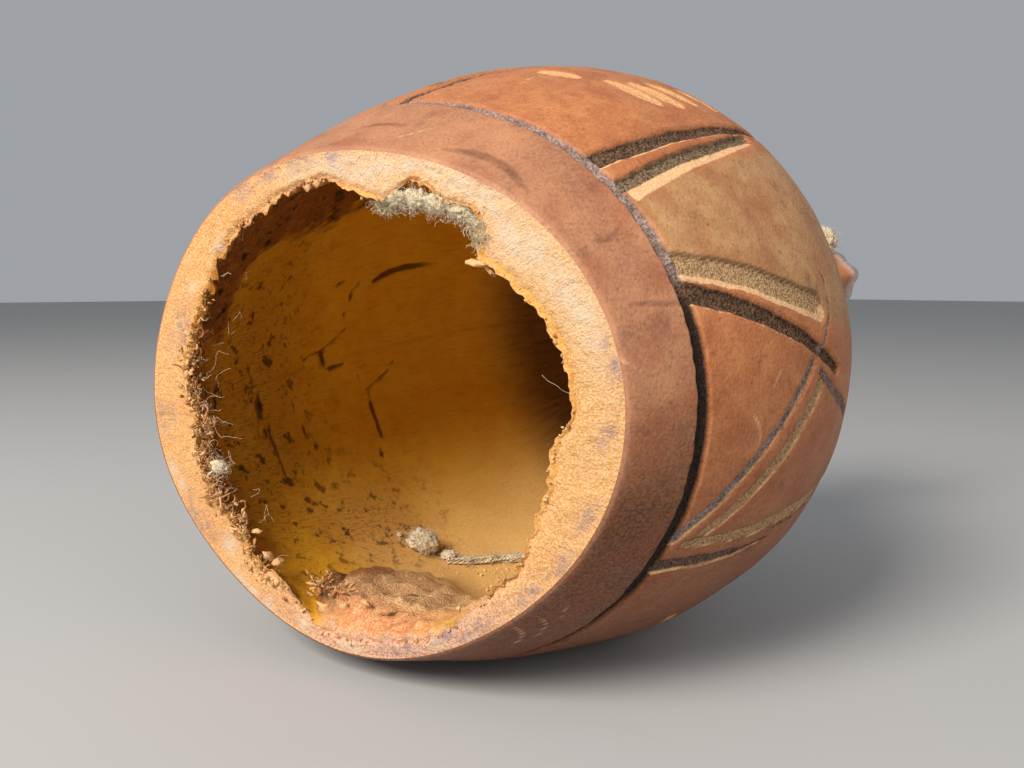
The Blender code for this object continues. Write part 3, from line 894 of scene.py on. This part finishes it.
ochre = blend(tree, soft_patch, paint(232, 162, 22), paint(240, 180, 40))
fine_streak = place_group(tree, streaks, Around_mm=0.45, Along_mm=4.0, Low=0.52, High=0.72)[0]
ochre = tint(tree, ochre, fine_streak, 0.22, paint(140, 88, 14))
dusty = blend(tree, fine_crumb["Grain"], paint(206, 160, 100), paint(232, 194, 136))
ochre = tint(tree, ochre, field_of(tree, "floor_dust"), 0.75, dusty)
shelf_colour = blend(tree, fine_crumb["Grain"], paint(204, 150, 98), paint(246, 206, 152))
shelf_colour = tint(tree, shelf_colour, small_patch, 0.3, paint(186, 126, 74))
ochre = blend(tree, field_of(tree, "shelf"), ochre, shelf_colour)
ember = blend(tree, crumb["Grain"], paint(196, 122, 70), paint(238, 190, 138))
ember = tint(tree, ember, small_patch, 0.6, paint(206, 104, 72))
ochre = tint(tree, ochre, field_of(tree, "rose"), 0.9, ember)
mould_spots = blotch(tree, 2.4, 0.56, 0.63, 9.0)
mould_dust = blotch(tree, 0.7, 0.54, 0.66, 13.0)
spots = math_node(tree, "MAXIMUM", mould_spots, times(tree, mould_dust, 0.6))
short_streak = place_group(tree, streaks, Around_mm=0.3, Along_mm=2.0, Low=0.50, High=0.66)[0]
near_mould = ramp(tree, field_of(tree, "mould_and_shade"), 0.75, 1.0)
short_streak = times(tree, short_streak, times(tree, near_mould, 0.6))
spots = times(tree, spots, field_of(tree, "mould_and_shade"))
spots = math_node(tree, "MAXIMUM", spots, short_streak)
# Painted shade and mould: the lining is darkened over the mould field.
ochre = tint(tree, ochre, field_of(tree, "mould_and_shade"), 0.5, paint(156, 94, 30))
colour = tint(tree, ochre, spots, 0.85, paint(44, 27, 14))
# Partly painted shade: the dark of the torn band behind the rim stands for torn fibres and for the shade
# under the rim.
torn_and_shade_colour = blend(tree, fine_streak, paint(132, 74, 30), paint(50, 28, 16))
torn_and_shade_colour = tint(tree, torn_and_shade_colour, small_patch, 0.5, paint(170, 104, 48))
torn_and_shade_colour = blend(tree, mould_spots, torn_and_shade_colour, paint(34, 20, 14))
torn_and_shade_share = times(tree, field_of(tree, "torn"), 0.9)
colour = blend(tree, torn_and_shade_share, colour, torn_and_shade_colour)
# Painted shade deep in the hollow, where little light reaches.
deep_shade_colour = blend(tree, fine_streak, paint(96, 58, 20), paint(44, 24, 10))
colour = tint(tree, colour, field_of(tree, "deep"), 0.9, deep_shade_colour)
crack_share = ramp(tree, field_of(tree, "crack"), -0.2, 0.25)
colour = tint(tree, colour, crack_share, 0.85, paint(66, 36, 12))
on_face = ramp(tree, field_of(tree, "face"), 0.3, 0.7)
colour = blend(tree, on_face, colour, sawn)
join(tree, colour, shader, "Base Color")
join(tree, ramp(tree, on_face, 0, 1, 0.62, 0.92), shader, "Roughness")
rough_place = math_node(tree, "MAXIMUM", on_face, times(tree, field_of(tree, "shelf"), 1.2))
rough_place = math_node(tree, "MAXIMUM", rough_place, field_of(tree, "torn"))
height = times(tree, crumb["Height"], rough_place)
normal = bump_from(tree, height, 0.22, 0.9)
normal = bump_from(tree, fine_crumb["Height"], 0.10, 0.8, normal)
normal = bump_from(tree, fine_streak, 0.06, 0.8, normal)
join(tree, normal, shader, "Normal")
make_piece("gourd_pith", pith_points, pith_faces, pith, pith_fields)

# ---------------------------------------------------------------------------
# Crumbs and shavings: dry pith torn loose by the saw. They hang on the inner edge of the
# left side, and a few chips lie in the notch and on the shelf.
# ---------------------------------------------------------------------------
chance = random.Random(7)


def in_mouth(degrees, inset_mm, depth_mm):
    """A point by the mouth: an angle, a distance in from the outer edge, a depth behind it."""
    point = sawn_plane_point(np.array([angle_of(degrees)]), np.array([inset_mm * MM]))[0]
    return point + mouth_normal * depth_mm * MM


def on_lining(station_mm, degrees, above_mm=0.0):
    """A point a little way in from the lining at a station and an angle."""
    inset = (LINING_WALL + above_mm) * MM
    return on_body(np.array([station_mm * MM]), np.array([angle_of(degrees)]), np.array([inset]))[0]


def ball_mesh(detail):
    """Points and triangles of a unit ball."""
    shape = bmesh.new()
    bmesh.ops.create_icosphere(shape, subdivisions=detail, radius=1.0)
    points = np.array([v.co[:] for v in shape.verts])
    triangles = [[v.index for v in f.verts] for f in shape.faces]
    shape.free()
    return points, triangles


def any_turn():
    """A random rotation."""
    axis = Vector((chance.gauss(0, 1), chance.gauss(0, 1), chance.gauss(0, 1))).normalized()
    return np.array(Matrix.Rotation(chance.uniform(0, FULL_TURN), 3, axis))


class Pile:
    """Points and faces gathered from many small bits, each with its own shade."""

    def __init__(self):
        self.points, self.faces, self.shades, self.count = [], [], [], 0

    def add(self, points, faces, shade):
        self.faces += [[i + self.count for i in face] for face in faces]
        self.points.append(points)
        self.shades.append(np.full(len(points), shade))
        self.count += len(points)

    def to_piece(self, name, material):
        shades = {"shade": np.concatenate(self.shades)}
        make_piece(name, np.concatenate(self.points), self.faces, material, shades)


small_ball, small_triangles = ball_mesh(2)


def add_crumb(pile, centre, size_mm, flat=(1.0, 0.75, 0.5), shade=None):
    """An angular crumb of pith."""
    bumps = np.array([noise.noise(Vector(p * 1.7 + centre * 9000)) for p in small_ball])
    shape = small_ball * (1 + 0.9 * bumps[:, None]) * np.array(flat) * size_mm * MM / 2
    pile.add(centre + shape @ any_turn().T, small_triangles, chance.random() if shade is None else shade)


def add_ribbon(pile, centre, length_mm, width_mm, curl):
    """A thin curled shaving."""
    steps = 7
    spin = any_turn()
    points = []
    for i in range(steps + 1):
        lean = curl * i / steps
        reach = length_mm / max(abs(curl), 0.2)
        here = np.array((math.sin(lean) * reach, 0, (1 - math.cos(lean)) * reach))
        half = width_mm / 2 * (1 - 0.6 * i / steps)
        for side, lift in ((-1, 0), (1, 0), (1, 0.07), (-1, 0.07)):
            points.append(here + np.array((0, side * half, lift)))
    faces = []
    for i in range(steps):
        for j in range(4):
            faces.append([4 * i + j, 4 * i + (j + 1) % 4, 4 * i + 4 + (j + 1) % 4, 4 * i + 4 + j])
    pile.add(centre + (np.array(points) @ spin.T) * MM, faces, chance.random())


LEFT_CRUMBS, SHAVINGS, RIGHT_CRUMBS, SPLINTERS, SHELF_GRAINS, FLOOR_GRAINS = 420, 330, 150, 150, 60, 40
crumbs = Pile()
for _ in range(LEFT_CRUMBS):
    degrees = chance.gauss(189, 28)
    if not 128 < degrees < 262:
        continue
    width = rim_at(degrees)
    size = chance.choice((0.4, 0.55, 0.75, 1.0))
    inset = width - 0.7 + chance.gauss(0, 0.65)
    add_crumb(crumbs, in_mouth(degrees, inset, 0.3 + chance.gauss(0, 0.5)), size, (1.2, 0.7, 0.4))
for _ in range(SHAVINGS):
    degrees = chance.gauss(194, 24)
    width = rim_at(degrees)
    place = in_mouth(degrees, width - 0.6 + chance.gauss(0, 0.7), 0.2 + chance.gauss(0, 0.5))
    add_ribbon(crumbs, place, chance.uniform(0.8, 2.4), chance.uniform(0.16, 0.5), chance.uniform(0.8, 4.0))
for _ in range(RIGHT_CRUMBS):
    degrees = chance.uniform(-112, 118)
    width = rim_at(degrees)
    place = in_mouth(degrees, width + chance.gauss(-0.15, 0.2), abs(chance.gauss(0, 0.4)))
    add_crumb(crumbs, place, chance.uniform(0.3, 0.7))
# Larger chips: angle, inset, depth, size, flatness.
CHIPS = (
    (-95, 4.9, 1.2, 2.6, (1.3, 0.8, 0.35)), (-90, 5.6, 1.8, 1.9, (1.3, 0.7, 0.4)),
    (-128, 9.0, 0.9, 1.6, (1.2, 0.6, 0.4)), (-137, 9.4, 0.8, 1.3, (1.2, 0.7, 0.4)),
    (-119, 7.4, 0.8, 1.8, (1.3, 0.8, 0.4)), (-116, 7.0, 1.4, 1.5, (1.2, 0.7, 0.5)),
    (-84, 6.5, 3.0, 1.4, (1, 0.8, 0.6)), (-52, 4.6, 0.6, 1.1, (1, 0.7, 0.5)),
    (38.0, 9.4, 0.4, 2.4, (1.6, 0.5, 0.35)), (35.0, 9.0, 0.6, 1.5, (1.4, 0.5, 0.4)),
    (-178, 11.9, 0.6, 1.2, (1, 0.7, 0.5)),
)
for degrees, inset, depth, size, flat in CHIPS:
    add_crumb(crumbs, in_mouth(degrees, inset, depth), size, flat, 0.9)
# Splinters over the broken wedge at the left end of the shelf.
for _ in range(SPLINTERS):
    place = in_mouth(chance.gauss(-97, 3.2), chance.gauss(6.8, 0.8), chance.gauss(2.8, 0.8))
    add_crumb(crumbs, place, chance.uniform(0.25, 0.9), (1.6, 0.6, 0.35), chance.uniform(0.05, 0.8))
# Dust and grains over the shelf and the floor behind it.
for _ in range(SHELF_GRAINS):
    place = on_lining(chance.uniform(24, 40), chance.gauss(-104, 5), 0.2)
    add_crumb(crumbs, place, chance.uniform(0.25, 0.7), shade=1.0)
for _ in range(FLOOR_GRAINS):
    place = on_lining(chance.uniform(20, 48), chance.gauss(-112, 16), 0.1)
    add_crumb(crumbs, place, chance.uniform(0.15, 0.4))

crumb_stuff, tree, shader = new_material("crumb", 0.9)
shade = field_of(tree, "shade")
fine_crumb = place_group(tree, granules, Size_mm=0.25)
colour = blend(tree, shade, paint(150, 92, 44), paint(238, 190, 130))
colour = tint(tree, colour, fine_crumb["Grain"], 0.4, paint(214, 162, 104))
join(tree, colour, shader, "Base Color")
join(tree, bump_from(tree, fine_crumb["Height"], 0.12), shader, "Normal")
crumbs.to_piece("torn_crumbs", crumb_stuff)

# ---------------------------------------------------------------------------
# Lint: grey wool caught under the top of the rim, a wad and a twisted strand on the floor
# of the hollow, stray white hairs on the torn edge, and a tuft on the stem.
# ---------------------------------------------------------------------------
def add_thread(pile, path, radius_mm, shade, sides=4):
    """A thin tube along a list of points."""
    path = np.array(path)
    runs = np.gradient(path, axis=0)
    runs /= np.linalg.norm(runs, axis=1, keepdims=True)
    guide = np.cross(runs, (0.31, 0.55, 0.77))
    guide /= np.linalg.norm(guide, axis=1, keepdims=True)
    other = np.cross(runs, guide)
    points = []
    for i in range(sides):
        lean = FULL_TURN * i / sides
        points.append(path + (guide * math.cos(lean) + other * math.sin(lean)) * radius_mm * MM)
    points = np.stack(points, axis=1).reshape(-1, 3)
    faces = []
    for i in range(len(path) - 1):
        for j in range(sides):
            k = (j + 1) % sides
            faces.append([i * sides + j, i * sides + k, (i + 1) * sides + k, (i + 1) * sides + j])
    pile.add(points, faces, shade)


PULL_HOME = 0.16


def wandering(start, steps, stride_mm, curl, pull=None):
    """Points of a thread that wanders from a start, kept near a place if it is pulled."""
    here = np.array(start, float)
    way = np.array([chance.gauss(0, 1) for _ in range(3)])
    way /= np.linalg.norm(way)
    path = [here.copy()]
    for _ in range(steps):
        way += curl * np.array([chance.gauss(0, 1) for _ in range(3)])
        if pull is not None:
            way += (pull - here) / MM * PULL_HOME
        way /= np.linalg.norm(way)
        here = here + way * stride_mm * MM
        path.append(here.copy())
    return path


def smooth_path(points, samples):
    """A smooth curve through a few points."""
    points = np.array(points)
    index = np.arange(len(points))
    at = np.linspace(0, len(points) - 1, samples)
    return np.stack([smooth_curve(index, points[:, k], at) for k in range(3)], axis=1)


wool = Pile()
large_ball, large_triangles = ball_mesh(4)


CORE_SHARE = 0.86
THREAD_STRIDE = 0.24


def add_wad(centre, reach_mm, along, threads, fuzz=0.5):
    """A tangle of fibres round a soft core, longest in one direction."""
    along = np.array(along) / np.linalg.norm(along)
    guide = np.cross(along, (0, 0, 1))
    guide /= np.linalg.norm(guide)
    turned = np.stack([along, guide, np.cross(along, guide)], axis=1)
    bumps = np.array([noise.fractal(Vector(p * 2.6 + centre * 700), 0.8, 2.0, 4) for p in large_ball])
    solid = large_ball * (1 + 0.42 * bumps[:, None]) * np.array(reach_mm) * CORE_SHARE
    wool.add(centre + (solid @ turned.T) * MM, large_triangles, 0.45)
    for _ in range(threads):
        spot = np.array([chance.gauss(0, 1) for _ in range(3)])
        spot = spot / np.linalg.norm(spot) * chance.uniform(0.6, 1.0) * np.array(reach_mm)
        start = centre + (turned @ spot) * MM
        path = wandering(start, 9, THREAD_STRIDE, fuzz, centre + (turned @ (spot * 0.9)) * MM)
        add_thread(wool, path, chance.uniform(0.016, 0.032), chance.random(), 3)


# Wool under the top of the rim: angle, inset, depth, reach.
for degrees, inset, depth, reach in (
    (62, 5.6, 1.2, (1.8, 1.5, 1.2)), (57.5, 5.2, 1.0, (2.0, 1.6, 1.3)), (53, 5.0, 0.9, (2.0, 1.4, 1.2)),
    (48, 4.8, 0.9, (2.0, 1.2, 1.1)), (43.5, 5.0, 0.9, (1.6, 1.0, 1.0)), (66, 6.6, 1.6, (1.4, 0.8, 0.8)),
    (40.5, 6.2, 0.8, (1.0, 0.9, 0.8)),
):
    ahead = in_mouth(degrees - 4, inset, depth) - in_mouth(degrees + 4, inset, depth)
    add_wad(in_mouth(degrees, inset, depth), reach, ahead, 230, fuzz=0.45)
# The wad on the floor, its tail, and the twisted strand that runs from it.
towards_strand = on_lining(28, -118, 1) - on_lining(23, -125, 1)
add_wad(on_lining(25.4, -122.2, 1.5), (3.0, 2.2, 2.1), towards_strand, 420, fuzz=0.45)
add_wad(on_lining(28.2, -116.5, 0.9), (1.8, 1.1, 1.0), (1, 0.2, 0), 60, fuzz=0.35)
add_wad(on_lining(22.7, -127.5, 0.3), (0.6, 0.4, 0.4), (1, 0.2, 0.3), 10)
STRAND_ROUTE = ((27.5, -115.5, 0.7), (32.7, -112, 0.9), (36.6, -110, 0.8), (41.5, -106, 0.9))
strand = smooth_path([on_lining(*spot) for spot in STRAND_ROUTE], 60)
STRAND_THREADS = 15
for i in range(STRAND_THREADS):
    phase = FULL_TURN * i / STRAND_THREADS
    offsets = []
    for j in range(len(strand)):
        lean = phase + j * 0.16
        reach = 0.62 * (0.55 + 0.45 * math.sin(j * 0.5 + 1.7 * i))
        offsets.append((math.cos(lean) * reach * MM, 0, math.sin(lean) * reach * MM))
    add_thread(wool, strand + np.array(offsets), 0.17, chance.uniform(0.4, 1.0))
for knot in (12, 30, 47):
    add_wad(strand[knot], (1.5, 0.7, 0.7), strand[knot + 4] - strand[knot], 60)
# A small tuft on the left of the torn edge, with a spike that points out.
add_wad(in_mouth(-158, 11.0, 0.4), (1.6, 1.1, 0.9), in_mouth(-153, 13, 1) - in_mouth(-163, 10, 0), 60)
SPIKE_ROUTE = ((-158, 11, 0.2), (-157, 9.4, -0.3), (-156, 8.4, -0.4))
add_thread(wool, smooth_path([in_mouth(*spot) for spot in SPIKE_ROUTE], 12), 0.16, 0.7)
# White hairs: where each pair of them hangs by the mouth, as (degrees, inset, depth).
HAIRS = (
    (114, 5.8, 1.6), (121, 8.6, 2.6), (133, 11.2, 2.6), (143, 11.4, 1.8), (151, 11.4, 1.0),
    (163, 12.6, 0.6), (172, 11.8, 0.2), (181, 13.6, 0.5), (190, 13.6, 0.4), (197, 14.2, 0.5),
    (-172, 9.6, -0.2), (-140, 13.2, 2.4), (-133, 12.6, 2.2), (-129, 12.0, 1.6), (-146, 11.4, 0.8),
    (-117, 7.8, 1.4), (42, 7.4, 0.8), (7, 7.9, 0.4),
)
for spot in HAIRS:
    start = in_mouth(*spot)
    for steps in (9, 15):
        add_thread(wool, wandering(start, steps, 0.2, 0.16), chance.uniform(0.014, 0.024), 0.55)
STRAY_THREADS = 70
for _ in range(STRAY_THREADS):
    degrees = chance.gauss(190, 24)
    width = rim_at(degrees)
    start = in_mouth(degrees, width + chance.gauss(0.2, 0.4), abs(chance.gauss(0, 1.0)))
    add_thread(wool, wandering(start, 14, 0.2, 0.6), chance.uniform(0.025, 0.045), chance.random(), 3)
# The tuft on the stem.
stem_top = on_body(np.array([0.1155]), np.array([angle_of(72)]), np.array([-0.0024]))[0]
add_wad(stem_top, (3.0, 2.2, 2.2), AXIS * 0.6 - UPWARD, 260, fuzz=0.45)

wool_stuff, tree, shader = new_material("wool", 0.95)
shader.inputs["Specular IOR Level"].default_value = 0.1
shader.inputs["Sheen Weight"].default_value = 0.5
shader.inputs["Sheen Roughness"].default_value = 0.5
shade = field_of(tree, "shade")
clump = place_group(tree, granules, Size_mm=0.5)
colour = blend(tree, shade, paint(214, 186, 140), paint(254, 240, 206))
colour = tint(tree, colour, clump["Grain"], 0.35, paint(214, 196, 162))
join(tree, colour, shader, "Base Color")
join(tree, bump_from(tree, clump["Height"], 0.5), shader, "Normal")
wool.to_piece("lint", wool_stuff)

# ---------------------------------------------------------------------------
# The camera stands low in front of the mouth, a little to its right.
# ---------------------------------------------------------------------------
LENS = 31.64
FROM_MOUTH = Vector((0.10752, -0.05339, 0.01771))
LOOKING = Vector((-0.7746, 0.6228, -0.1097))
camera = bpy.data.objects.new("camera", bpy.data.cameras.new("camera"))
bpy.context.scene.collection.objects.link(camera)
camera.data.sensor_width = 36.0
camera.data.lens = LENS
camera.data.clip_start = 0.005
forward = LOOKING.normalized()
right = forward.cross(Vector((0, 0, 1))).normalized()
facing = Matrix((right, right.cross(forward), -forward)).transposed().to_4x4()
facing.translation = Vector(MOUTH_CENTRE) + FROM_MOUTH
camera.matrix_world = facing
bpy.context.scene.camera = camera

# ---------------------------------------------------------------------------
# The studio: a plain pale floor and soft light, the stronger from the upper left.
# ---------------------------------------------------------------------------
FLOOR_REACH = 3.0
floor_mesh = bpy.data.meshes.new("floor")
corners = [(x * FLOOR_REACH, y * FLOOR_REACH, 0) for x, y in ((-1, -1), (1, -1), (1, 1), (-1, 1))]
floor_mesh.from_pydata(corners, [], [(0, 1, 2, 3)])
floor = bpy.data.objects.new("floor", floor_mesh)
bpy.context.scene.collection.objects.link(floor)
floor_paint, tree, shader = new_material("floor", 0.9)
shader.inputs["Base Color"].default_value = (0.46, 0.45, 0.44, 1)
floor_mesh.materials.append(floor_paint)


def soft_light(name, away, size, power, tint):
    """A square lamp at a place measured from the mouth, facing it."""
    lamp = bpy.data.lights.new(name, "AREA")
    lamp.size = size
    lamp.energy = power
    lamp.color = tint
    holder = bpy.data.objects.new(name, lamp)
    bpy.context.scene.collection.objects.link(holder)
    place = Vector(MOUTH_CENTRE) + away
    holder.location = place
    holder.rotation_euler = (Vector(MOUTH_CENTRE) - place).to_track_quat("-Z", "Y").to_euler()


up = Vector((0, 0, 1))
soft_light("key", -right * 0.34 + up * 0.40 - forward * 0.46, 0.30, 7.6, (1.0, 0.96, 0.90))
soft_light("fill", right * 0.5 + up * 0.35 - forward * 0.5, 0.7, 1.2, (0.90, 0.95, 1.0))
world = bpy.data.worlds.new("studio")
bpy.context.scene.world = world
world.use_nodes = True
surroundings = world.node_tree.nodes["Background"]
surroundings.inputs["Color"].default_value = (0.86, 0.90, 0.95, 1)
surroundings.inputs["Strength"].default_value = 0.40
bpy.context.scene.view_settings.view_transform = "Standard"
